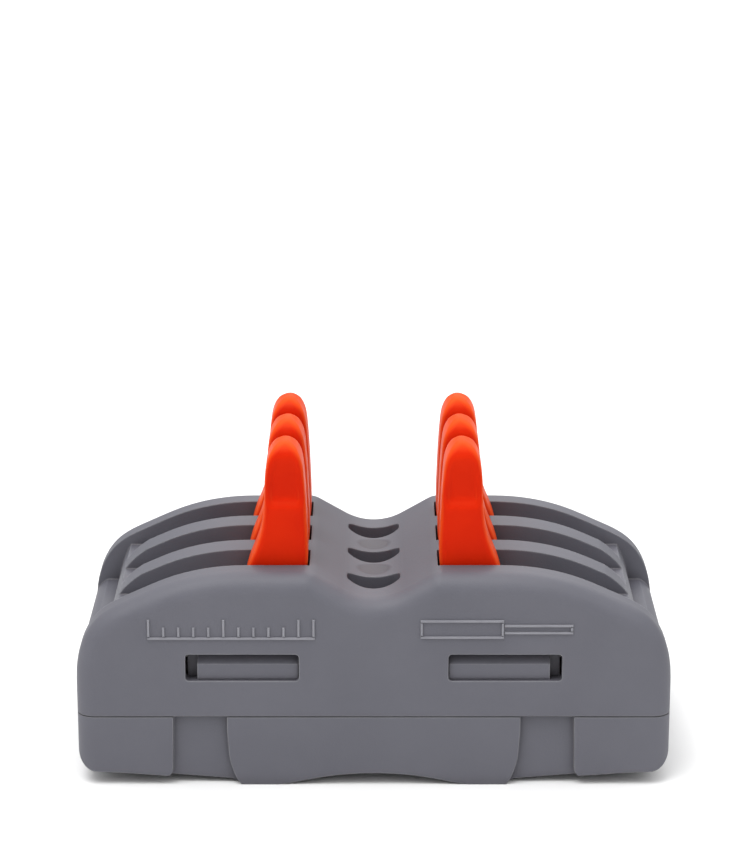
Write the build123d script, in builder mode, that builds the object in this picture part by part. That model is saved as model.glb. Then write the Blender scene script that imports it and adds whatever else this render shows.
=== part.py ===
from build123d import *
import math
import os

os.makedirs("parts", exist_ok=True)

# Three-pole, two-sided lever wire connector, mm. X runs along the wires, the long faces look along Y.

# overall
body_length = 40.0
body_width = 18.5
body_top = 14.86
seam_z = 4.95
half_length = body_length / 2
half_width = body_width / 2

# poles
pitch = 5.2
rows = {"front": -pitch, "middle": 0.0, "back": pitch}
sides = {"left": -1, "right": 1}
chamber_width = 4.2
chamber_end = 16.2
chamber_low = seam_z - 1
partition_top = 10.6
partition_width = pitch - chamber_width
chamber_half = pitch + chamber_width / 2

# levers
pivot_x = 7.0
pivot_z = 12.15
pin_radius = 1.0
notch_radius = 1.05
pin_reach = 2.05
lever_width = 3.0
slot_width = 3.2
slot_inner = 4.3
slot_floor_z = 11.6
above_top = body_top + 2
notch_drop = 1.0

# valley along the middle of the top
valley_bottom = 13.04
valley_radius = 4.0
crest_radius = 1.5
crest_x = 4.626

# test holes in the valley: flat towards the back, round towards the front
test_hole_reach = 1.8
test_hole_back = 1.1
test_hole_side = -0.2
test_hole_front = -1.2
test_hole_corner = 0.55
test_hole_floor = 11.0

# finger recess between the outer walls, at each end
recess_half = 6.8
lip_z = 8.95

# wire entries
entry_z = 4.9
entry_radius = 1.95
entry_mouth_radius = 2.35
entry_mouth_depth = 0.8
guide_radius = 1.5
guide_x = 17.2

# base
floor_z = 1.9
skin_half = 8.8
tongue_half = 7.6
cavity_half = tongue_half + 0.1
tongue_z = 2.2
base_top = 4.9
corner_radius = 1.25

# snap arms and the windows they show in
arm_inner = 5.05
arm_outer = 12.5
hook_outer = 11.8
arm_back = 7.35
arm_face = 8.2
arm_top = 9.4
window_inner = 5.0
window_outer = 12.6
window_low = 7.5
window_high = 9.4
window_corner = 0.25
window_depth = 1.3
window_middle = (window_inner + window_outer) / 2
window_row = (window_low + window_high) / 2
pocket_length = window_outer - window_inner + 0.2
pocket_face = 8.25
pocket_top = 9.7

# hook on each arm: distance from the middle plane, height
hook = [(8.1, 7.52), (8.95, 7.52), (8.95, 8.6), (8.2, arm_top), (8.1, arm_top)]

# busbars and clamp springs
bar_low = 6.0
bar_high = 6.8
bar_width = 3.6
bar_neck = 2.8
bar_end = 14.5
bar_bevel = 0.25
neck_x = 12.2
strip = 0.35
spring_width = 3.9
spring_window = 3.0
punch_depth = 2.0
window_leg_low = 3.2
seat_end = 12.0
loop_x = 5.9
loop_radius = 1.275
blade_end = 12.5
bend_radius = 0.8

# posts that hold the busbars from above and from below
upper_post = (1.2, chamber_width + 0.4)
upper_post_x = 2.9
upper_post_top = 12.32
lower_post = (1.8, 3.4)
lower_post_x = 2.3
post_root = floor_z - 0.3


def on_circle(x, z, radius, angle):
    return (x + radius * math.cos(math.radians(angle)), z + radius * math.sin(math.radians(angle)))


# valley and crest of the top: 30 degree slopes between a hollow arc and a rounded crest
valley_centre_z = valley_bottom + valley_radius
valley_side = on_circle(0, valley_centre_z, valley_radius, -60)
valley_mid = on_circle(0, valley_centre_z, valley_radius, -75)
crest_low = on_circle(crest_x, body_top - crest_radius, crest_radius, 120)
crest_mid = on_circle(crest_x, body_top - crest_radius, crest_radius, 105)

# centre line of a pressed clamp spring, outwards from the middle
blade_tilt = 7.84
strip_z = bar_high + strip / 2 + 0.01
bow_top = on_circle(loop_x, strip_z + loop_radius, loop_radius, 90 - blade_tilt)
blade_drop = (blade_end - bow_top[0]) * math.tan(math.radians(blade_tilt))
bend_start = (blade_end, bow_top[1] - blade_drop)
bend_centre = on_circle(bend_start[0], bend_start[1], -bend_radius, 90 - blade_tilt)
bend_mid = on_circle(bend_centre[0], bend_centre[1], bend_radius, 45 - blade_tilt / 2)
leg_x = bend_centre[0] + bend_radius
window_bottom = window_leg_low + strip
window_top = 7.5

# lever outline about its pivot: towards the middle of the body, up
lever_edge = [
    (-1.7, 1.2),
    (-1.4, 2.55),
    (-0.82, 4.05),
    (-0.5, 5.25),
    (-0.32, 6.9),
    (-0.25, 8.7),
    (-0.1, 9.8),
    (0.3, 10.65),
    (1.15, 11.15),
    (1.9, 10.75),
    (2.22, 9.9),
    (2.35, 8.7),
    (2.5, 6.4),
    (2.57, 2.69),
]
lever_hub = [
    (2.57, 2.69),
    (2.3, 1.4),
    (1.75, 0.1),
    (1.2, -1.3),
    (0.95, -2.1),
    (0.6, -2.45),
    (-1.1, -2.68),
    (-1.5, -2.25),
    (-1.75, -0.5),
    (-1.7, 1.2),
]

# underside: arch in the middle, flat feet, ends rising to rounded lower corners
arch = [(0, 0.83), (1.9, 0.75), (4.0, 0.45), (5.2, 0.2), (6.5, 0.0)]
rise = [(6.5, 0.0), (9.0, 0.0), (9.55, 0.27), (13.5, 0.6), (17.0, 0.86), (18.8, 0.93)]
panel_edge = [(9.85, 4.0), (9.8, 3.1), (9.68, 1.75), (9.35, 0.7), (8.95, 0.08)]

# shoulder of the outer walls, from the end face up to the flat top
shoulder = [
    (20.0, 7.0),
    (19.68, 9.6),
    (18.5, 11.58),
    (16.2, 12.93),
    (13.5, 14.08),
    (11.2, 14.65),
    (8.6, 14.86),
]

# ends of the ribs between the lever slots, which fall away inside the outer walls
rib_line = [
    (15.0, 13.56),
    (16.4, 12.7),
    (17.2, 11.92),
    (17.76, 10.95),
    (18.1, 9.95),
    (18.3, lip_z),
]
lip_round = [(19.15, lip_z), (19.72, 8.5), (20.0, 7.3)]

# chamber of one pole: deep under the lever, lower towards the end
chamber = [
    (0, 11.8),
    (0, chamber_low),
    (chamber_end, chamber_low),
    (chamber_end, 9.75),
    (9.4, 9.75),
    (9.4, 11.8),
]

# lever slot: open above, pocket for the foot, sloping floor under the closed lever
slot = [
    (slot_inner, above_top),
    (slot_inner, 13.1),
    (3.9, 12.9),
    (3.9, 11.0),
    (9.0, 11.0),
    (9.0, 9.5),
    (10.2, 9.5),
    (10.2, 10.45),
    (12.6, 11.3),
    (14.0, slot_floor_z),
    (half_length, slot_floor_z),
    (half_length, above_top),
]

# recess between the raised panels of the base: inner edge, round corner and outer edge
recess_head = base_top + 1
panel_foot = [(14.2, 0.55), (13.72, 0.72), (13.55, 1.15)]
panel_side = (13.45, recess_head)

# housing: the grey upper shell with the slots, windows, partitions and wire entries
with BuildPart() as housing:
    with BuildSketch(Plane.XZ):
        with BuildLine():
            Line((0, seam_z), (half_length, seam_z))
            Line((half_length, seam_z), shoulder[0])
            Spline(*shoulder, tangents=[(0, 1), (-1, 0)], tangent_scalars=[1, 1])
            Line(shoulder[-1], (crest_x, body_top))
            ThreePointArc((crest_x, body_top), crest_mid, crest_low)
            Line(crest_low, valley_side)
            ThreePointArc(valley_side, valley_mid, (0, valley_bottom))
            Line((0, valley_bottom), (0, seam_z))
        make_face()
        mirror(about=Plane.YZ)
    extrude(amount=half_width, both=True)
    face_edges = housing.edges().filter_by(lambda e: abs(abs(e.center().Y) - half_width) < 0.001)
    fillet(face_edges.filter_by(lambda e: e.center().Z > seam_z + 0.01), corner_radius)

    # finger recesses
    with BuildSketch(Plane.XZ):
        with BuildLine():
            Spline(*rib_line, tangents=[(1, -0.45), (0.1, -1)], tangent_scalars=[1, 1])
            Line(rib_line[-1], lip_round[0])
            ThreePointArc(*lip_round)
            Line(lip_round[-1], (half_length + 2, lip_round[-1][1]))
            Line((half_length + 2, lip_round[-1][1]), (half_length + 2, body_top + 2))
            Line((half_length + 2, body_top + 2), (rib_line[0][0], body_top + 2))
            Line((rib_line[0][0], body_top + 2), rib_line[0])
        make_face()
        mirror(about=Plane.YZ)
    extrude(amount=recess_half, both=True, mode=Mode.SUBTRACT)

    # end blocks reach down into the base around the wire entries
    block_middle = (chamber_end + half_length) / 2
    with BuildSketch(Plane.XY.offset(tongue_z)):
        with Locations((-block_middle, 0), (block_middle, 0)):
            Rectangle(half_length - chamber_end, 2 * tongue_half)
    extrude(amount=seam_z + 0.5 - tongue_z)

    # one chamber per pole
    for y in rows.values():
        with BuildSketch(Plane.XZ.offset(-y)):
            with BuildLine():
                Polyline(*chamber, chamber[0])
            make_face()
            mirror(about=Plane.YZ)
        extrude(amount=chamber_width / 2, both=True, mode=Mode.SUBTRACT)

    # lever slots
    for y in rows.values():
        with BuildSketch(Plane.XZ.offset(-y)):
            with BuildLine():
                Polyline(*slot, slot[0])
            make_face()
            mirror(about=Plane.YZ)
        extrude(amount=slot_width / 2, both=True, mode=Mode.SUBTRACT)

    # notches that the lever pins turn in
    for y in rows.values():
        with BuildSketch(Plane.XZ.offset(-y)):
            with Locations((-pivot_x, pivot_z), (pivot_x, pivot_z)):
                Circle(notch_radius)
            with Locations((-pivot_x, pivot_z - notch_drop / 2), (pivot_x, pivot_z - notch_drop / 2)):
                Rectangle(2 * notch_radius, notch_drop)
        extrude(amount=chamber_width / 2, both=True, mode=Mode.SUBTRACT)

    # test holes
    for y in rows.values():
        with BuildSketch(Plane.XY.offset(test_hole_floor)):
            with BuildLine():
                Line((-test_hole_reach, y + test_hole_side), (-test_hole_reach, y + test_hole_back))
                Line((-test_hole_reach, y + test_hole_back), (test_hole_reach, y + test_hole_back))
                Line((test_hole_reach, y + test_hole_back), (test_hole_reach, y + test_hole_side))
                ThreePointArc(
                    (test_hole_reach, y + test_hole_side),
                    (0, y + test_hole_front),
                    (-test_hole_reach, y + test_hole_side),
                )
            hole_face = make_face()
            fillet(hole_face.vertices(), test_hole_corner)
        extrude(amount=above_top - test_hole_floor, mode=Mode.SUBTRACT)

    # pockets for the snap arms, and the windows their hooks show in
    with BuildSketch(Plane.XY.offset(seam_z - 0.5)):
        with GridLocations(2 * window_middle, chamber_half - 0.1 + pocket_face, 2, 2):
            Rectangle(pocket_length, pocket_face - chamber_half + 0.1)
    extrude(amount=pocket_top - seam_z + 0.5, mode=Mode.SUBTRACT)
    for sign in (-1, 1):
        with BuildSketch(Plane.XZ.offset(-sign * half_width)):
            with Locations((-window_middle, window_row), (window_middle, window_row)):
                RectangleRounded(window_outer - window_inner, window_high - window_low, window_corner)
        extrude(amount=sign * window_depth, mode=Mode.SUBTRACT)

    # partitions between the poles, down to the floor of the base
    with BuildSketch(Plane.XY.offset(floor_z + 0.1)):
        with GridLocations(0, pitch, 1, 2):
            Rectangle(2 * chamber_end + 0.1, partition_width)
    extrude(amount=partition_top - floor_z - 0.1)

    # wire entries: funnel, round bore for the sleeve, narrower guide for the bare wire
    for sign in (-1, 1):
        mouth_plane = Plane(origin=(sign * half_length, 0, entry_z), x_dir=(0, 1, 0), z_dir=(-sign, 0, 0))
        with BuildSketch(mouth_plane):
            with GridLocations(pitch, 0, 3, 1):
                Circle(guide_radius)
        extrude(amount=half_length - chamber_end + 0.5, mode=Mode.SUBTRACT)
        with BuildSketch(mouth_plane):
            with GridLocations(pitch, 0, 3, 1):
                Circle(entry_radius)
        extrude(amount=half_length - guide_x, mode=Mode.SUBTRACT)
        for y in rows.values():
            with Locations(Plane(origin=(sign * half_length, y, entry_z), z_dir=(-sign, 0, 0))):
                Cone(
                    entry_mouth_radius,
                    entry_radius,
                    entry_mouth_depth,
                    align=(Align.CENTER, Align.CENTER, Align.MIN),
                    mode=Mode.SUBTRACT,
                )

    # posts that hold the busbars down
    with BuildSketch(Plane.XY.offset(bar_high + 0.02)):
        for y in rows.values():
            with Locations((-upper_post_x, y), (upper_post_x, y)):
                Rectangle(*upper_post)
    extrude(amount=upper_post_top - bar_high - 0.02)
housing.part.label = "housing"
export_step(housing.part, "parts/housing.step")

# base cover: floor, low walls, panels and feet, posts and four snap arms
with BuildPart() as base_cover:
    with BuildSketch(Plane.XZ):
        with BuildLine():
            Spline(*arch, tangents=[(1, 0), (1, -0.1)], tangent_scalars=[1, 1])
            Polyline(*rise)
            ThreePointArc(rise[-1], (19.6, 1.35), (half_length, tongue_z))
            Line((half_length, tongue_z), (half_length, base_top))
            Line((half_length, base_top), (0, base_top))
            Line((0, base_top), arch[0])
        make_face()
        mirror(about=Plane.YZ)
    extrude(amount=half_width, both=True)

    # rounded upright corners
    with BuildSketch(Plane.XY):
        RectangleRounded(body_length, body_width, corner_radius)
    extrude(amount=base_top, mode=Mode.INTERSECT)

    # recesses that leave a raised middle panel and two raised end panels on each face
    for sign in (-1, 1):
        with BuildSketch(Plane.XZ.offset(-sign * (half_width + 0.5))):
            with BuildLine():
                Line((panel_edge[0][0], recess_head), panel_edge[0])
                Spline(*panel_edge, tangents=[(0, -1), (-0.9, -0.6)], tangent_scalars=[1, 1])
                Line(panel_edge[-1], (8.5, -1))
                Line((8.5, -1), (panel_foot[0][0], -1))
                Line((panel_foot[0][0], -1), panel_foot[0])
                ThreePointArc(*panel_foot)
                Line(panel_foot[-1], panel_side)
                Line(panel_side, (panel_edge[0][0], recess_head))
            make_face()
            mirror(about=Plane.YZ)
        extrude(amount=sign * (half_width + 0.5 - skin_half), mode=Mode.SUBTRACT)

    # inside of the tray, open at both ends above the sills for the wire entry blocks
    with BuildSketch(Plane.XY.offset(floor_z)):
        Rectangle(2 * chamber_end + 0.2, 2 * cavity_half)
    extrude(amount=base_top, mode=Mode.SUBTRACT)
    with BuildSketch(Plane.XY.offset(tongue_z - 0.1)):
        Rectangle(body_length + 2, 2 * tongue_half + 0.2)
    extrude(amount=base_top, mode=Mode.SUBTRACT)

    # posts under the busbars
    with BuildSketch(Plane.XY.offset(post_root)):
        for y in rows.values():
            with Locations((-lower_post_x, y), (lower_post_x, y)):
                Rectangle(*lower_post)
    extrude(amount=bar_low - post_root)

    # snap arms with a ramped hook
    with BuildSketch(Plane.XY.offset(post_root)):
        with GridLocations(arm_inner + arm_outer, arm_back + arm_face, 2, 2):
            Rectangle(arm_outer - arm_inner, arm_face - arm_back)
    extrude(amount=arm_top - post_root)
    for sign in (-1, 1):
        for side in (-1, 1):
            arm_plane = Plane(origin=(side * arm_inner, 0, 0), x_dir=(0, sign, 0), z_dir=(sign, 0, 0))
            with BuildSketch(arm_plane):
                with BuildLine():
                    Polyline(*hook, hook[0])
                make_face()
            extrude(amount=sign * side * (hook_outer - arm_inner))
base_cover.part.label = "base_cover"
export_step(base_cover.part, "parts/base_cover.step")

# busbars: one copper strip per pole, necked at the clamps
for name, y in rows.items():
    with BuildPart() as busbar:
        with BuildSketch(Plane.XY.offset(bar_low)):
            with Locations((0, y)):
                Rectangle(2 * neck_x, bar_width)
                Rectangle(2 * bar_end, bar_neck)
        extrude(amount=bar_high - bar_low)
        chamfer(busbar.faces().filter_by(Axis.X).sort_by(Axis.X)[0].edges().filter_by(Axis.Y), bar_bevel)
        chamfer(busbar.faces().filter_by(Axis.X).sort_by(Axis.X)[-1].edges().filter_by(Axis.Y), bar_bevel)
    busbar.part.label = "busbar_" + name
    export_step(busbar.part, "parts/busbar_" + name + ".step")

# clamp springs: a strip bent into a loop, with a windowed leg that pulls the wire up to the busbar
for side, direction in sides.items():
    for name, y in rows.items():
        with BuildPart() as spring:
            with BuildSketch(Plane.XZ.offset(-y)):
                with BuildLine() as strip_line:
                    Line((direction * seat_end, strip_z), (direction * loop_x, strip_z))
                    ThreePointArc(
                        (direction * loop_x, strip_z),
                        (direction * (loop_x - loop_radius), strip_z + loop_radius),
                        (direction * bow_top[0], bow_top[1]),
                    )
                    Line((direction * bow_top[0], bow_top[1]), (direction * bend_start[0], bend_start[1]))
                    ThreePointArc(
                        (direction * bend_start[0], bend_start[1]),
                        (direction * bend_mid[0], bend_mid[1]),
                        (direction * leg_x, bend_centre[1]),
                    )
                    Line((direction * leg_x, bend_centre[1]), (direction * leg_x, window_leg_low))
                trace(strip_line.line, line_width=strip)
            extrude(amount=spring_width / 2, both=True)
            with BuildSketch(Plane.XZ.offset(-y)):
                with Locations((direction * leg_x, (window_top + window_bottom) / 2)):
                    Rectangle(punch_depth, window_top - window_bottom)
            extrude(amount=spring_window / 2, both=True, mode=Mode.SUBTRACT)
        spring.part.label = "clamp_spring_" + side + "_" + name
        export_step(spring.part, "parts/clamp_spring_" + side + "_" + name + ".step")

# levers: upright handle, hub with two pins, foot that presses the spring
for side, direction in sides.items():
    for name, y in rows.items():
        with BuildPart() as lever:
            with BuildSketch(Plane.XZ.offset(-y)):
                with BuildLine():
                    Spline(*[(direction * (pivot_x - inward), pivot_z + up) for inward, up in lever_edge])
                    Polyline(*[(direction * (pivot_x - inward), pivot_z + up) for inward, up in lever_hub])
                make_face()
            extrude(amount=lever_width / 2, both=True)
            with BuildSketch(Plane.XZ.offset(-y)):
                with Locations((direction * pivot_x, pivot_z)):
                    Circle(pin_radius)
            extrude(amount=pin_reach, both=True)
        lever.part.label = "lever_" + side + "_" + name
        export_step(lever.part, "parts/lever_" + side + "_" + name + ".step")
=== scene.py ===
import bpy
import bmesh
import math
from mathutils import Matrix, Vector


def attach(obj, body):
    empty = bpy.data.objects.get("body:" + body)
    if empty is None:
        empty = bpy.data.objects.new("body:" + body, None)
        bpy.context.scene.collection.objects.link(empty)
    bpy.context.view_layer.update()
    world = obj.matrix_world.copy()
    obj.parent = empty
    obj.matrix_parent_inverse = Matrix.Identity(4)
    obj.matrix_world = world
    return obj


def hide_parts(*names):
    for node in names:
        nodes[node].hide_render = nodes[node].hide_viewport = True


mm = 0.001

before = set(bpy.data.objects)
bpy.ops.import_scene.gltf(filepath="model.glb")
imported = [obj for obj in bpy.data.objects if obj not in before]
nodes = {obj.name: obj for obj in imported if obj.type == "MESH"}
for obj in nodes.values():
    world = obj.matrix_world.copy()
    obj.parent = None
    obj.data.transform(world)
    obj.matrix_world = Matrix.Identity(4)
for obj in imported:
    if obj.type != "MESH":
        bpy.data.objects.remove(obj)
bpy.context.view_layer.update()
rowNames = ("front", "middle", "back")
ends = {"left": -1, "right": 1}
print("frame loaded:", len(nodes), "nodes")


# shader node groups, built once and shared

def addNode(tree, kind, place, **settings):
    node = tree.nodes.new(kind)
    node.location = place
    for name, value in settings.items():
        setattr(node, name, value)
    return node


def newGroup(name, inputs, outputs):
    group = bpy.data.node_groups.new(name, "ShaderNodeTree")
    for label, kind, value in inputs:
        group.interface.new_socket(name=label, in_out="INPUT", socket_type=kind).default_value = value
    for label, kind in outputs:
        group.interface.new_socket(name=label, in_out="OUTPUT", socket_type=kind)
    return group, addNode(group, "NodeGroupInput", (-900, 0)), addNode(group, "NodeGroupOutput", (500, 0))


def makeMouldGrain():
    # spark-eroded mould texture: fine pits over slow, cloudy flow of the plastic
    group, given, out = newGroup(
        "mouldGrain",
        [
            ("Pits", "NodeSocketFloat", 9000.0),
            ("Clouds", "NodeSocketFloat", 160.0),
            ("Mix", "NodeSocketFloat", 0.3),
        ],
        [("Height", "NodeSocketFloat"), ("Cloud", "NodeSocketFloat")],
    )
    where = addNode(group, "ShaderNodeTexCoord", (-900, 300))
    pits = addNode(group, "ShaderNodeTexVoronoi", (-600, 260), feature="SMOOTH_F1")
    fine = addNode(group, "ShaderNodeTexNoise", (-600, 0))
    fine.inputs["Detail"].default_value = 3.0
    cloud = addNode(group, "ShaderNodeTexNoise", (-600, -260))
    cloud.inputs["Detail"].default_value = 4.0
    cloud.inputs["Roughness"].default_value = 0.55
    blend = addNode(group, "ShaderNodeMix", (-200, 120))
    link = group.links.new
    for texture in (pits, fine, cloud):
        link(where.outputs["Object"], texture.inputs["Vector"])
    link(given.outputs["Pits"], pits.inputs["Scale"])
    link(given.outputs["Pits"], fine.inputs["Scale"])
    link(given.outputs["Clouds"], cloud.inputs["Scale"])
    link(given.outputs["Mix"], blend.inputs["Factor"])
    link(pits.outputs["Distance"], blend.inputs["A"])
    link(fine.outputs["Fac"], blend.inputs["B"])
    link(blend.outputs["Result"], out.inputs["Height"])
    link(cloud.outputs["Fac"], out.inputs["Cloud"])
    return group


def makeSoftEdge():
    # rounds sharp moulded edges in the shading, and marks them for a painted highlight: 1 on an edge, 0 on
    # flats
    onFlat, onEdge = 0.995, 0.8    # how far the rounded normal still agrees with the flat one
    leastEdgeLight = 0.35
    group, given, out = newGroup(
        "softEdge",
        [("Radius", "NodeSocketFloat", 0.12 * mm), ("Breakup", "NodeSocketFloat", 700.0)],
        [("Normal", "NodeSocketVector"), ("Edge", "NodeSocketFloat")],
    )
    rounded = addNode(group, "ShaderNodeBevel", (-700, 300), samples=6)
    shape = addNode(group, "ShaderNodeNewGeometry", (-900, 60))
    where = addNode(group, "ShaderNodeTexCoord", (-900, -200))
    noise = addNode(group, "ShaderNodeTexNoise", (-700, -200))
    noise.inputs["Detail"].default_value = 2.0
    match = addNode(group, "ShaderNodeVectorMath", (-450, 160), operation="DOT_PRODUCT")
    span = addNode(group, "ShaderNodeMapRange", (-250, 160))
    span.inputs["From Min"].default_value = onFlat
    span.inputs["From Max"].default_value = onEdge
    strength = addNode(group, "ShaderNodeMapRange", (-450, -200))
    strength.inputs["To Min"].default_value = leastEdgeLight
    product = addNode(group, "ShaderNodeMath", (-50, 60), operation="MULTIPLY")
    link = group.links.new
    link(given.outputs["Radius"], rounded.inputs["Radius"])
    link(given.outputs["Breakup"], noise.inputs["Scale"])
    link(where.outputs["Object"], noise.inputs["Vector"])
    link(rounded.outputs["Normal"], match.inputs[0])
    link(shape.outputs["Normal"], match.inputs[1])
    link(match.outputs["Value"], span.inputs["Value"])
    link(noise.outputs["Fac"], strength.inputs["Value"])
    link(span.outputs["Result"], product.inputs[0])
    link(strength.outputs["Result"], product.inputs[1])
    link(rounded.outputs["Normal"], out.inputs["Normal"])
    link(product.outputs[0], out.inputs["Edge"])
    return group


def makeSeamShade():
    # dust and painted shadow gathered along the joint line of the two shells, clear of the wire mouths
    leastSeamDark, seamPatchScale = 0.6, 500.0
    group, given, out = newGroup(
        "seamShade",
        [
            ("Height", "NodeSocketFloat", 4.925 * mm),
            ("Reach", "NodeSocketFloat", 0.085 * mm),
            ("Inner", "NodeSocketFloat", 7.65 * mm),
        ],
        [("Shade", "NodeSocketFloat")],
    )
    where = addNode(group, "ShaderNodeTexCoord", (-900, 200))
    parts = addNode(group, "ShaderNodeSeparateXYZ", (-700, 200))
    gap = addNode(group, "ShaderNodeMath", (-500, 160), operation="SUBTRACT")
    far = addNode(group, "ShaderNodeMath", (-330, 160), operation="ABSOLUTE")
    noise = addNode(group, "ShaderNodeTexNoise", (-700, -160))
    noise.inputs["Scale"].default_value = seamPatchScale
    amount = addNode(group, "ShaderNodeMapRange", (-500, -160))
    amount.inputs["To Min"].default_value = leastSeamDark
    span = addNode(group, "ShaderNodeMapRange", (-160, 160))
    span.inputs["To Min"].default_value = 1.0
    span.inputs["To Max"].default_value = 0.0
    across = addNode(group, "ShaderNodeMath", (-500, 340), operation="ABSOLUTE")
    outer = addNode(group, "ShaderNodeMath", (-330, 340), operation="GREATER_THAN")
    shown = addNode(group, "ShaderNodeMath", (-20, 260), operation="MULTIPLY")
    product = addNode(group, "ShaderNodeMath", (100, 60), operation="MULTIPLY")
    link = group.links.new
    link(where.outputs["Object"], parts.inputs["Vector"])
    link(where.outputs["Object"], noise.inputs["Vector"])
    link(parts.outputs["Y"], across.inputs[0])
    link(across.outputs[0], outer.inputs[0])
    link(given.outputs["Inner"], outer.inputs[1])
    link(span.outputs["Result"], shown.inputs[0])
    link(outer.outputs[0], shown.inputs[1])
    link(parts.outputs["Z"], gap.inputs[0])
    link(given.outputs["Height"], gap.inputs[1])
    link(gap.outputs[0], far.inputs[0])
    link(far.outputs[0], span.inputs["Value"])
    link(given.outputs["Reach"], span.inputs["From Max"])
    link(noise.outputs["Fac"], amount.inputs["Value"])
    link(shown.outputs[0], product.inputs[0])
    link(amount.outputs["Result"], product.inputs[1])
    link(product.outputs[0], out.inputs["Shade"])
    return group


def makeCrevice():
    # painted shade in recesses, from ambient occlusion: none in the open, the full amount deep inside
    openSky, deepInside = 0.85, 0.15
    group, given, out = newGroup(
        "crevice",
        [("Distance", "NodeSocketFloat", 1.4 * mm), ("Amount", "NodeSocketFloat", 0.6)],
        [("Shade", "NodeSocketFloat")],
    )
    hidden = addNode(group, "ShaderNodeAmbientOcclusion", (-700, 100), samples=6)
    span = addNode(group, "ShaderNodeMapRange", (-400, 100))
    span.inputs["From Min"].default_value = openSky
    span.inputs["From Max"].default_value = deepInside
    product = addNode(group, "ShaderNodeMath", (-100, 60), operation="MULTIPLY")
    link = group.links.new
    link(given.outputs["Distance"], hidden.inputs["Distance"])
    link(hidden.outputs["AO"], span.inputs["Value"])
    link(span.outputs["Result"], product.inputs[0])
    link(given.outputs["Amount"], product.inputs[1])
    link(product.outputs[0], out.inputs["Shade"])
    return group


def makePaintedRimLight():
    # painted highlight on the thin rims and tips of a flat moulding, standing in for light shining through
    # the plastic: lighter where the surface turns away from facing along Y
    leastRimLight, patchScale = 0.55, 300.0
    group, given, out = newGroup(
        "paintedRimLight",
        [("Flat", "NodeSocketFloat", 0.9), ("Round", "NodeSocketFloat", 0.4)],
        [("Rim", "NodeSocketFloat")],
    )
    where = addNode(group, "ShaderNodeTexCoord", (-900, 100))
    parts = addNode(group, "ShaderNodeSeparateXYZ", (-700, 100))
    facing = addNode(group, "ShaderNodeMath", (-520, 100), operation="ABSOLUTE")
    span = addNode(group, "ShaderNodeMapRange", (-340, 100))
    noise = addNode(group, "ShaderNodeTexNoise", (-700, -140))
    noise.inputs["Scale"].default_value = patchScale
    amount = addNode(group, "ShaderNodeMapRange", (-500, -140))
    amount.inputs["To Min"].default_value = leastRimLight
    product = addNode(group, "ShaderNodeMath", (-100, 60), operation="MULTIPLY")
    link = group.links.new
    link(where.outputs["Normal"], parts.inputs["Vector"])
    link(where.outputs["Object"], noise.inputs["Vector"])
    link(parts.outputs["Y"], facing.inputs[0])
    link(facing.outputs[0], span.inputs["Value"])
    link(given.outputs["Flat"], span.inputs["From Min"])
    link(given.outputs["Round"], span.inputs["From Max"])
    link(noise.outputs["Fac"], amount.inputs["Value"])
    link(span.outputs["Result"], product.inputs[0])
    link(amount.outputs["Result"], product.inputs[1])
    link(product.outputs[0], out.inputs["Rim"])
    return group


def makeEjectorMark():
    # shallow round ejector mark in the valley's floor, at one place along Y
    flatRadius, lowest = 0.9 * mm, 12.6 * mm
    group, given, out = newGroup(
        "ejectorMark",
        [("Place", "NodeSocketFloat", 0.0), ("Radius", "NodeSocketFloat", 1.3 * mm)],
        [("Dish", "NodeSocketFloat")],
    )
    where = addNode(group, "ShaderNodeTexCoord", (-900, 200))
    parts = addNode(group, "ShaderNodeSeparateXYZ", (-720, 200))
    along = addNode(group, "ShaderNodeMath", (-540, 100), operation="SUBTRACT")
    flat = addNode(group, "ShaderNodeCombineXYZ", (-360, 200))
    length = addNode(group, "ShaderNodeVectorMath", (-180, 200), operation="LENGTH")
    inside = addNode(group, "ShaderNodeMapRange", (0, 200), interpolation_type="SMOOTHSTEP")
    inside.inputs["From Min"].default_value = flatRadius
    inside.inputs["To Min"].default_value = 1.0
    inside.inputs["To Max"].default_value = 0.0
    above = addNode(group, "ShaderNodeMath", (0, -60), operation="GREATER_THAN")
    above.inputs[1].default_value = lowest
    product = addNode(group, "ShaderNodeMath", (200, 60), operation="MULTIPLY")
    link = group.links.new
    link(where.outputs["Object"], parts.inputs["Vector"])
    link(parts.outputs["Y"], along.inputs[0])
    link(given.outputs["Place"], along.inputs[1])
    link(parts.outputs["X"], flat.inputs["X"])
    link(along.outputs[0], flat.inputs["Y"])
    link(flat.outputs["Vector"], length.inputs[0])
    link(length.outputs["Value"], inside.inputs["Value"])
    link(given.outputs["Radius"], inside.inputs["From Max"])
    link(parts.outputs["Z"], above.inputs[0])
    link(inside.outputs["Result"], product.inputs[0])
    link(above.outputs[0], product.inputs[1])
    link(product.outputs[0], out.inputs["Dish"])
    return group


def makeRolledStrip():
    # rolling lines of a stamped metal strip, drawn out along X, and slow stains over it
    drawnOut = (300.0, 14000.0, 3000.0)
    stainScale = 420.0
    group, given, out = newGroup(
        "rolledStrip",
        [("Lines", "NodeSocketFloat", 1.0)],
        [("Streak", "NodeSocketFloat"), ("Stain", "NodeSocketFloat")],
    )
    where = addNode(group, "ShaderNodeTexCoord", (-900, 200))
    stretch = addNode(group, "ShaderNodeMapping", (-700, 200))
    stretch.inputs["Scale"].default_value = drawnOut
    streak = addNode(group, "ShaderNodeTexNoise", (-450, 200))
    streak.inputs["Detail"].default_value = 2.0
    stain = addNode(group, "ShaderNodeTexNoise", (-450, -150))
    stain.inputs["Scale"].default_value = stainScale
    stain.inputs["Detail"].default_value = 5.0
    link = group.links.new
    link(where.outputs["Object"], stretch.inputs["Vector"])
    link(stretch.outputs["Vector"], streak.inputs["Vector"])
    link(given.outputs["Lines"], streak.inputs["Scale"])
    link(where.outputs["Object"], stain.inputs["Vector"])
    link(streak.outputs["Fac"], out.inputs["Streak"])
    link(stain.outputs["Fac"], out.inputs["Stain"])
    return group


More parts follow.
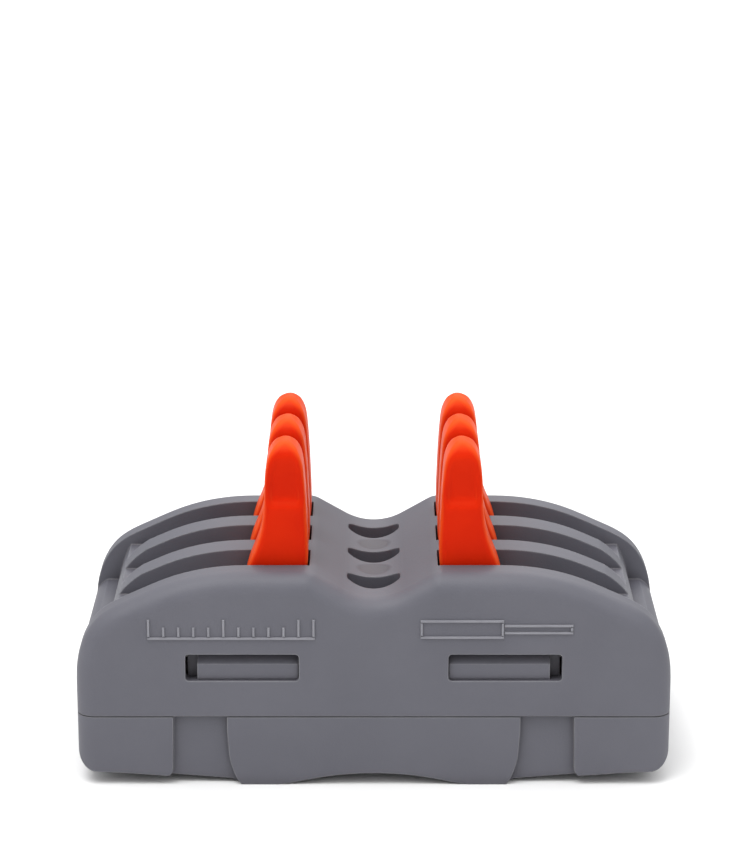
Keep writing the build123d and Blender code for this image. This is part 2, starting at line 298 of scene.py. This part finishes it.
mouldGrain = makeMouldGrain()
softEdge = makeSoftEdge()
seamShade = makeSeamShade()
crevice = makeCrevice()
paintedRimLight = makePaintedRimLight()
ejectorMark = makeEjectorMark()
rolledStrip = makeRolledStrip()


# materials

cloudSpan = (0.3, 0.7)      # where the values of the slow clouds lie
stainSpan = (0.35, 0.65)    # and those of the stains on metal
grainHeight = 0.02 * mm
lineHeight, lineStrength = 0.01 * mm, 0.25


def ramp(tree, place, stops):
    node = addNode(tree, "ShaderNodeValToRGB", place)
    for index, (at, colour) in enumerate(stops):
        stop = node.color_ramp.elements[index] if index < 2 else node.color_ramp.elements.new(at)
        stop.position = at
        stop.color = (*colour, 1.0)
    return node


def layer(tree, place, under, mask, colour, blend="MIX"):
    # lays one colour over another where the mask is 1
    node = addNode(tree, "ShaderNodeMix", place, data_type="RGBA", blend_type=blend)
    node.inputs["B"].default_value = (*colour, 1.0)
    tree.links.new(mask, node.inputs["Factor"])
    tree.links.new(under, node.inputs["A"])
    return node.outputs["Result"]


seamDustAndShadow = (0.012, 0.011, 0.012)
creviceShade = (0.42, 0.38, 0.38)
dishShade = (0.7, 0.66, 0.66)
dishDepth = -4.0    # in grain heights


def mouldedPlastic(name, look):
    material = bpy.data.materials.new(name)
    material.use_nodes = True
    tree = material.node_tree
    link = tree.links.new
    shader = tree.nodes["Principled BSDF"]
    shader.inputs["IOR"].default_value = look["ior"]
    shader.inputs["Specular IOR Level"].default_value = look["specular"]
    grain = addNode(tree, "ShaderNodeGroup", (-900, 0), node_tree=mouldGrain)
    grain.inputs["Pits"].default_value = look["pits"]
    grain.inputs["Clouds"].default_value = look["clouds"]
    roundingAndHighlight = addNode(tree, "ShaderNodeGroup", (-900, 300), node_tree=softEdge)
    roundingAndHighlight.inputs["Radius"].default_value = look["softness"]
    tint = ramp(tree, (-600, 100), zip(cloudSpan, (look["dark"], look["light"])))
    rough = addNode(tree, "ShaderNodeMapRange", (-600, -150))
    rough.inputs["From Min"].default_value = cloudSpan[0]
    rough.inputs["From Max"].default_value = cloudSpan[1]
    rough.inputs["To Min"].default_value = look["rough"][0]
    rough.inputs["To Max"].default_value = look["rough"][1]
    bump = addNode(tree, "ShaderNodeBump", (-300, -350))
    bump.inputs["Strength"].default_value = look["bump"]
    bump.inputs["Distance"].default_value = grainHeight
    link(grain.outputs["Cloud"], tint.inputs["Fac"])
    # painted highlight: the lighter edge colour laid along the rounded edges
    painted = layer(tree, (-300, 200), tint.outputs["Color"], roundingAndHighlight.outputs["Edge"], look["edge"])
    relief = grain.outputs["Height"]
    if look["seam"]:
        # painted shadow of the joint gap, with dust: a near-black line along the seam
        seam = addNode(tree, "ShaderNodeGroup", (-600, 420), node_tree=seamShade)
        painted = layer(tree, (-120, 300), painted, seam.outputs["Shade"], seamDustAndShadow)
    if look["rims"]:
        # painted highlight over the rims and tips of the levers
        rim = addNode(tree, "ShaderNodeGroup", (-600, 520), node_tree=paintedRimLight)
        painted = layer(tree, (-40, 420), painted, rim.outputs["Rim"], look["edge"])
    # painted shade, darkening the recesses
    recessShade = addNode(tree, "ShaderNodeGroup", (-600, 760), node_tree=crevice)
    recessShade.inputs["Amount"].default_value = look["crevice"]
    painted = layer(tree, (20, 560), painted, recessShade.outputs["Shade"], creviceShade, "MULTIPLY")
    for place in look["dimples"]:
        dish = addNode(tree, "ShaderNodeGroup", (-600, 620), node_tree=ejectorMark)
        dish.inputs["Place"].default_value = place * mm
        # painted shade inside the ejector dish, beside its dent in the bump
        painted = layer(tree, (40, 300), painted, dish.outputs["Dish"], dishShade, "MULTIPLY")
        deeper = addNode(tree, "ShaderNodeMath", (-480, -350), operation="MULTIPLY_ADD")
        deeper.inputs[1].default_value = dishDepth
        link(dish.outputs["Dish"], deeper.inputs[0])
        link(relief, deeper.inputs[2])
        relief = deeper.outputs[0]
    link(painted, shader.inputs["Base Color"])
    link(grain.outputs["Cloud"], rough.inputs["Value"])
    link(rough.outputs["Result"], shader.inputs["Roughness"])
    link(relief, bump.inputs["Height"])
    link(roundingAndHighlight.outputs["Normal"], bump.inputs["Normal"])
    link(bump.outputs["Normal"], shader.inputs["Normal"])
    return material


def rolledMetal(name, look):
    material = bpy.data.materials.new(name)
    material.use_nodes = True
    tree = material.node_tree
    link = tree.links.new
    shader = tree.nodes["Principled BSDF"]
    shader.inputs["Metallic"].default_value = 1.0
    strip = addNode(tree, "ShaderNodeGroup", (-900, 0), node_tree=rolledStrip)
    tint = ramp(tree, (-600, 100), zip(stainSpan, (look["dark"], look["light"])))
    rough = addNode(tree, "ShaderNodeMapRange", (-600, -150))
    rough.inputs["To Min"].default_value = look["rough"][0]
    rough.inputs["To Max"].default_value = look["rough"][1]
    bump = addNode(tree, "ShaderNodeBump", (-300, -350))
    bump.inputs["Strength"].default_value = lineStrength
    bump.inputs["Distance"].default_value = lineHeight
    link(strip.outputs["Stain"], tint.inputs["Fac"])
    link(tint.outputs["Color"], shader.inputs["Base Color"])
    link(strip.outputs["Streak"], rough.inputs["Value"])
    link(rough.outputs["Result"], shader.inputs["Roughness"])
    link(strip.outputs["Streak"], bump.inputs["Height"])
    link(bump.outputs["Normal"], shader.inputs["Normal"])
    return material


# "edge" is the colour of the painted highlight along edges, and on the levers over their rims too
shellLook = {
    "dark": (0.096, 0.096, 0.116), "light": (0.11, 0.11, 0.131),
    "seam": True, "rims": False, "crevice": 0.75,
    "bump": 0.5, "ior": 1.5, "specular": 0.4, "softness": 0.16 * mm,
}
greyPlastic = mouldedPlastic("greyPlastic", {
    **shellLook, "edge": (0.3, 0.3, 0.32), "dimples": (-2.6, 2.6),
    "rough": (0.5, 0.6), "pits": 9000.0, "clouds": 160.0,
})
basePlastic = mouldedPlastic("basePlastic", {
    **shellLook, "edge": (0.29, 0.29, 0.31), "dimples": (),
    "rough": (0.48, 0.58), "pits": 8000.0, "clouds": 140.0,
})
orangePlastic = mouldedPlastic("orangePlastic", {
    "dark": (0.55, 0.014, 0.0012), "light": (0.61, 0.02, 0.0018), "edge": (0.8, 0.085, 0.012),
    "seam": False, "dimples": (), "rims": True, "crevice": 0.3,
    "rough": (0.42, 0.52), "pits": 12000.0, "clouds": 220.0, "bump": 0.25, "ior": 1.4, "specular": 0.06,
    "softness": 0.1 * mm,
})
# a lighter copy of the grey plastic, as painted highlight on the thin raised strokes
litRaisedGrey = mouldedPlastic("litRaisedGrey", {
    "dark": (0.19, 0.19, 0.215), "light": (0.23, 0.23, 0.255), "edge": (0.36, 0.36, 0.38),
    "seam": False, "dimples": (), "rims": False, "crevice": 0.0,
    "rough": (0.45, 0.55), "pits": 12000.0, "clouds": 600.0, "bump": 0.3, "ior": 1.5, "specular": 0.4,
    "softness": 0.03 * mm,
})
springSteel = rolledMetal("springSteel", {
    "dark": (0.45, 0.45, 0.44), "light": (0.6, 0.6, 0.59), "rough": (0.18, 0.42),
})
tinnedCopper = rolledMetal("tinnedCopper", {
    "dark": (0.5, 0.46, 0.4), "light": (0.68, 0.64, 0.57), "rough": (0.28, 0.5),
})
print("materials made:", len(bpy.data.materials))


# mesh helpers

def addPiece(piece, material, body):
    bpy.context.collection.objects.link(piece)
    piece.data.materials.clear()
    piece.data.materials.append(material)
    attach(piece, body)
    return piece


def smoothAt(table, t):
    # smooth curve through (t, value) pairs
    if t <= table[0][0]:
        return table[0][1]
    if t >= table[-1][0]:
        return table[-1][1]
    i = max(k for k in range(len(table) - 1) if table[k][0] <= t)
    (t0, v0), (t1, v1) = table[i], table[i + 1]

    def slopeAt(k):
        low, high = max(k - 1, 0), min(k + 1, len(table) - 1)
        return (table[high][1] - table[low][1]) / (table[high][0] - table[low][0])

    span = t1 - t0
    s = (t - t0) / span
    m0, m1 = slopeAt(i) * span, slopeAt(i + 1) * span
    return (
        (2 * s ** 3 - 3 * s ** 2 + 1) * v0 + (s ** 3 - 2 * s ** 2 + s) * m0
        + (3 * s ** 2 - 2 * s ** 3) * v1 + (s ** 3 - s ** 2) * m1
    )


def smoothStep(low, high, value):
    s = min(max((value - low) / (high - low), 0.0), 1.0)
    return s * s * (3 - 2 * s)


# levers: crowned handle with a scooped finger pad, hub, pins and foot

leverPlan = {
    "pivot": (7.0, 12.15),      # distance from the middle, height
    "pitch": 5.2,
    "halfWidth": 1.5,
    "corner": 0.42,             # rounding of the long edges
    "crown": 1.2,               # rounding over the tip, front to back
    "scoopDepth": 0.34,
    "scoop": (6.55, 7.4, 10.3),     # bottom edge, deepest line, top edge above the pivot
    "fadeOut": (0.35, 0.65),        # straight and smooth shares of how the scoop runs out upwards
    "arch": 8.8,                    # where the top of the scoop starts to close in
    "rim": (0.5, 0.98),             # where the scoop ends across the handle
    "footSlope": 0.135,             # slope of the foot's underside
    "footTurn": -1.1,               # the foot's underside turns about this line
    "footTop": -1.4,                # no slope from here up
    "pinRadius": 1.0,
    "pinReach": 2.05,
    "pinChamfer": 0.12,
    "pinSides": 40,
    "capAngle": 50,                 # edges sharper than this stay crisp
    "rows": 84,
    "broadSteps": 28,
    "narrowSteps": 8,
    "cornerSteps": 4,
    # (height above the pivot, offset towards the middle): the edge away from the middle, and the near one
    "outer": [
        (-2.66, -1.0), (-2.3, -1.45), (-0.5, -1.75), (1.2, -1.7), (2.55, -1.4), (4.05, -0.82), (5.25, -0.5),
        (6.9, -0.32), (8.7, -0.25), (9.8, -0.1), (10.55, 0.22), (10.95, 0.6), (11.15, 1.0),
    ],
    "inner": [
        (-2.66, 0.35), (-2.1, 0.92), (-1.3, 1.2), (0.1, 1.75), (1.4, 2.3), (2.69, 2.57), (6.4, 2.5),
        (8.7, 2.36), (9.8, 2.22), (10.55, 1.93), (10.95, 1.6), (11.15, 1.3),
    ],
}


def ringPoints(low, high, half, corner):
    # rounded rectangle between two x values, as (x, y, how far across from 0 to 1)
    plan = leverPlan
    mostOfHalf = 0.95    # a corner never takes up a whole half side
    mid, reach = (low + high) / 2, (high - low) / 2
    r = min(corner, reach * mostOfHalf, half * mostOfHalf)
    points = []
    for turn in range(4):
        broad = turn % 2 == 0
        count = plan["broadSteps"] if broad else plan["narrowSteps"]
        for k in range(count):
            s = -1 + 2 * k / count
            along = s * ((reach if broad else half) - r)
            if broad:
                x, y = along, -half
            else:
                x, y = reach, along
            if turn >= 2:
                x, y = -x, -y
            points.append((x, y))
        cx = reach - r if turn < 2 else -reach + r
        cy = half - r if turn in (1, 2) else -half + r
        for k in range(plan["cornerSteps"]):
            angle = math.radians(-90 + 90 * turn + 90 * k / plan["cornerSteps"])
            points.append((cx + r * math.cos(angle), cy + r * math.sin(angle)))
    return [(mid + x, y, abs(x) / reach) for x, y in points]


def leverMesh(name, side):
    plan = leverPlan
    low, high = plan["outer"][0][0], plan["outer"][-1][0]
    start, deep, top = plan["scoop"]
    straight, eased = plan["fadeOut"]
    work = bmesh.new()
    rings = []
    for row in range(plan["rows"] + 1):
        t = row / plan["rows"]
        up = low + (high - low) * (0.5 * t + 0.5 * math.sin(t * math.pi / 2))
        over = max(up - (high - plan["crown"]), 0.0)
        half = plan["halfWidth"] - plan["crown"] + math.sqrt(max(plan["crown"] ** 2 - over ** 2, 0.0))
        fade = min(max((top - up) / (top - deep), 0.0), 1.0)
        along = smoothStep(start, deep, up) * (straight * fade + eased * smoothStep(0, 1, fade))
        closing = min(max((up - plan["arch"]) / (top - plan["arch"]), 0.0), 1.0)
        arch = math.sqrt(1 - closing ** 2)
        away, near = smoothAt(plan["outer"], up), smoothAt(plan["inner"], up)
        ring = []
        for x, y, across in ringPoints(away, near, half, plan["corner"]):
            if arch > 0:
                cut = plan["scoopDepth"] * along * (1 - smoothStep(*plan["rim"], across / arch))
                y -= math.copysign(cut, y)
            slant = plan["footSlope"] * (x - plan["footTurn"]) * smoothStep(plan["footTop"], low, up)
            place = Vector((side * (plan["pivot"][0] - x), y, plan["pivot"][1] + up + slant))
            ring.append(work.verts.new(place * mm))
        rings.append(ring)
    for below, above in zip(rings, rings[1:]):
        for k in range(len(below)):
            work.faces.new((below[k - 1], below[k], above[k], above[k - 1]))
    work.faces.new(reversed(rings[0]))
    work.faces.new(rings[-1])
    addPin(work, side)
    bmesh.ops.recalc_face_normals(work, faces=work.faces)
    for face in work.faces:
        face.smooth = True
    mesh = bpy.data.meshes.new(name)
    work.to_mesh(mesh)
    work.free()
    return mesh


def addPin(work, side):
    # hinge pin through the lever, sticking out on both sides
    plan = leverPlan
    reach, full, chamfer, sides = plan["pinReach"], plan["pinRadius"], plan["pinChamfer"], plan["pinSides"]
    stations = [
        (-reach, full - chamfer), (-reach + chamfer, full), (reach - chamfer, full), (reach, full - chamfer),
    ]
    angles = [2 * math.pi * k / sides for k in range(sides)]
    centre = Vector((side * plan["pivot"][0], 0, plan["pivot"][1]))
    rings = []
    for y, radius in stations:
        rings.append([
            work.verts.new((centre + Vector((radius * math.cos(a), y, radius * math.sin(a)))) * mm)
            for a in angles
        ])
    for first, second in zip(rings, rings[1:]):
        for k in range(sides):
            work.faces.new((first[k - 1], first[k], second[k], second[k - 1]))
    work.faces.new(rings[0])
    work.faces.new(rings[-1])


for endName, side in ends.items():
    shape = leverMesh("lever" + endName.capitalize(), side)
    for index, rowName in enumerate(rowNames):
        node = "lever_%s_%s" % (endName, rowName)
        mesh = shape.copy()
        for vertex in mesh.vertices:
            vertex.co.y += (index - 1) * leverPlan["pitch"] * mm
        handle = bpy.data.objects.new(node + "Handle", mesh)
        lever = addPiece(handle, orangePlastic, node)
        edges = lever.modifiers.new("capEdges", "EDGE_SPLIT")
        edges.split_angle = math.radians(leverPlan["capAngle"])
        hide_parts(node)
print("levers built")


# raised marks on the front face: a strip gauge and a stripped wire, with no lettering

markPlan = {
    "face": -9.25, "proud": 0.11, "rooted": 0.05, "stroke": 0.2, "slope": 0.04,
    "gaugeX": -15.0, "gaugeZ": 10.55, "gaugeLength": 11.0, "tick": 0.7, "longTick": 1.25, "longEvery": 5,
    "wireX": 3.2, "wireZ": 11.2, "sleeve": 5.4, "sleeveHeight": 1.15, "core": 4.6, "coreHeight": 0.5,
}


def addStroke(work, x0, z0, x1, z1, width):
    # one raised stroke between two points, with sloping sides
    plan = markPlan
    start, end = Vector((x0, 0, z0)), Vector((x1, 0, z1))
    ahead = (end - start).normalized()
    aside = Vector((-ahead.z, 0, ahead.x)) * width / 2
    reach = ahead * width / 2
    centre = (start + end) / 2
    sunk, raised = plan["face"] + plan["rooted"], plan["face"] - plan["proud"]
    foot, top = [], []
    for corner in (start - reach - aside, end + reach - aside, end + reach + aside, start - reach + aside):
        inward = centre - corner
        x = corner.x + math.copysign(plan["slope"], inward.x)
        z = corner.z + math.copysign(plan["slope"], inward.z)
        foot.append(work.verts.new(Vector((corner.x, sunk, corner.z)) * mm))
        top.append(work.verts.new(Vector((x, raised, z)) * mm))
    for k in range(4):
        work.faces.new((foot[k - 1], foot[k], top[k], top[k - 1]))
    work.faces.new(top)
    work.faces.new(reversed(foot))


def markMesh():
    plan = markPlan
    work = bmesh.new()
    width = plan["stroke"]
    x0, z0 = plan["gaugeX"], plan["gaugeZ"]
    addStroke(work, x0, z0, x0 + plan["gaugeLength"], z0, width)
    for k in range(int(plan["gaugeLength"]) + 1):
        isLong = k % plan["longEvery"] == 0 or k == plan["gaugeLength"]
        height = plan["longTick"] if isLong else plan["tick"]
        addStroke(work, x0 + k, z0 + width, x0 + k, z0 + height, width)
    x0, z0 = plan["wireX"], plan["wireZ"]
    x1, x2 = x0 + plan["sleeve"], x0 + plan["sleeve"] + plan["core"]
    sleeve, core = plan["sleeveHeight"] / 2, plan["coreHeight"] / 2
    for edge in (-sleeve, sleeve):
        addStroke(work, x0, z0 + edge, x1, z0 + edge, width)
    for x in (x0, x1):
        addStroke(work, x, z0 - sleeve + width, x, z0 + sleeve - width, width)
    for edge in (-core, core):
        addStroke(work, x1 + width, z0 + edge, x2, z0 + edge, width)
    addStroke(work, x2, z0 - core + width, x2, z0 + core - width, width)
    bmesh.ops.recalc_face_normals(work, faces=work.faces)
    mesh = bpy.data.meshes.new("raisedMarks")
    work.to_mesh(mesh)
    work.free()
    return mesh


addPiece(bpy.data.objects.new("raisedMarks", markMesh()), litRaisedGrey, "body")
print("marks raised")


# shells and metal parts keep their frame shapes

keptLooks = {
    "housing": greyPlastic, "base_cover": basePlastic, "clamp_spring": springSteel, "busbar": tinnedCopper,
}
for name, node in nodes.items():
    for start, material in keptLooks.items():
        if name.startswith(start):
            node.material_slots[0].material = material


# floor, light and camera

floorPlan = {
    "half": 3.0, "dark": (0.83, 0.83, 0.83), "light": (0.85, 0.85, 0.85), "clouds": 40.0,
    "rough": 0.85, "specular": 0.1,
}


def floorPaint():
    material = bpy.data.materials.new("paleFloor")
    material.use_nodes = True
    tree = material.node_tree
    shader = tree.nodes["Principled BSDF"]
    shader.inputs["Roughness"].default_value = floorPlan["rough"]
    shader.inputs["Specular IOR Level"].default_value = floorPlan["specular"]
    noise = addNode(tree, "ShaderNodeTexNoise", (-700, 0))
    noise.inputs["Scale"].default_value = floorPlan["clouds"]
    tint = ramp(tree, (-450, 0), zip(cloudSpan, (floorPlan["dark"], floorPlan["light"])))
    tree.links.new(noise.outputs["Fac"], tint.inputs["Fac"])
    tree.links.new(tint.outputs["Color"], shader.inputs["Base Color"])
    return material


half = floorPlan["half"]
corners = [(-half, -half, 0), (half, -half, 0), (half, half, 0), (-half, half, 0)]
floorMesh = bpy.data.meshes.new("floor")
floorMesh.from_pydata(corners, [], [(0, 1, 2, 3)])
floor = bpy.data.objects.new("floor", floorMesh)
floorMesh.materials.append(floorPaint())
bpy.context.collection.objects.link(floor)

lightPlan = {
    # name: place, size, watts
    "keyLight": ((-0.1, -0.1, 0.36), 0.24, 0.9),
    "fillLight": ((0.26, -0.2, 0.26), 0.3, 0.16),
    "rimLight": ((0.05, 0.3, 0.26), 0.3, 0.45),
}
target = Vector((0, 0, 0.01))
for name, (place, size, watts) in lightPlan.items():
    lamp = bpy.data.lights.new(name, "AREA")
    lamp.size = size
    lamp.energy = watts
    holder = bpy.data.objects.new(name, lamp)
    holder.location = place
    holder.rotation_euler = (target - Vector(place)).to_track_quat("-Z", "Y").to_euler()
    bpy.context.collection.objects.link(holder)

# soft box all round: dim from below, brightest overhead
skyPlan = {"from": -0.1, "dim": 0.4, "bright": 1.28}
studio = bpy.data.worlds.new("studio")
studio.use_nodes = True
bpy.context.scene.world = studio
background = studio.node_tree.nodes["Background"]
background.inputs["Color"].default_value = (1.0, 1.0, 1.0, 1.0)
sky = addNode(studio.node_tree, "ShaderNodeTexCoord", (-800, 0))
height = addNode(studio.node_tree, "ShaderNodeSeparateXYZ", (-600, 0))
softbox = addNode(studio.node_tree, "ShaderNodeMapRange", (-400, 0), interpolation_type="SMOOTHSTEP")
softbox.inputs["From Min"].default_value = skyPlan["from"]
softbox.inputs["To Min"].default_value = skyPlan["dim"]
softbox.inputs["To Max"].default_value = skyPlan["bright"]
studio.node_tree.links.new(sky.outputs["Generated"], height.inputs["Vector"])
studio.node_tree.links.new(height.outputs["Z"], softbox.inputs["Value"])
studio.node_tree.links.new(softbox.outputs["Result"], background.inputs["Strength"])

cameraPlan = {"place": (0.00009, -0.18696, 0.07899), "tilt": 73.22, "lens": 120.77, "nearest": 0.01}
camera = bpy.data.cameras.new("viewCamera")
camera.lens = cameraPlan["lens"]
camera.clip_start = cameraPlan["nearest"]
eye = bpy.data.objects.new("viewCamera", camera)
eye.location = cameraPlan["place"]
eye.rotation_euler = (math.radians(cameraPlan["tilt"]), 0, 0)
bpy.context.collection.objects.link(eye)
bpy.context.scene.camera = eye
bpy.context.scene.view_settings.view_transform = "Standard"
print("floor, lights and camera placed")
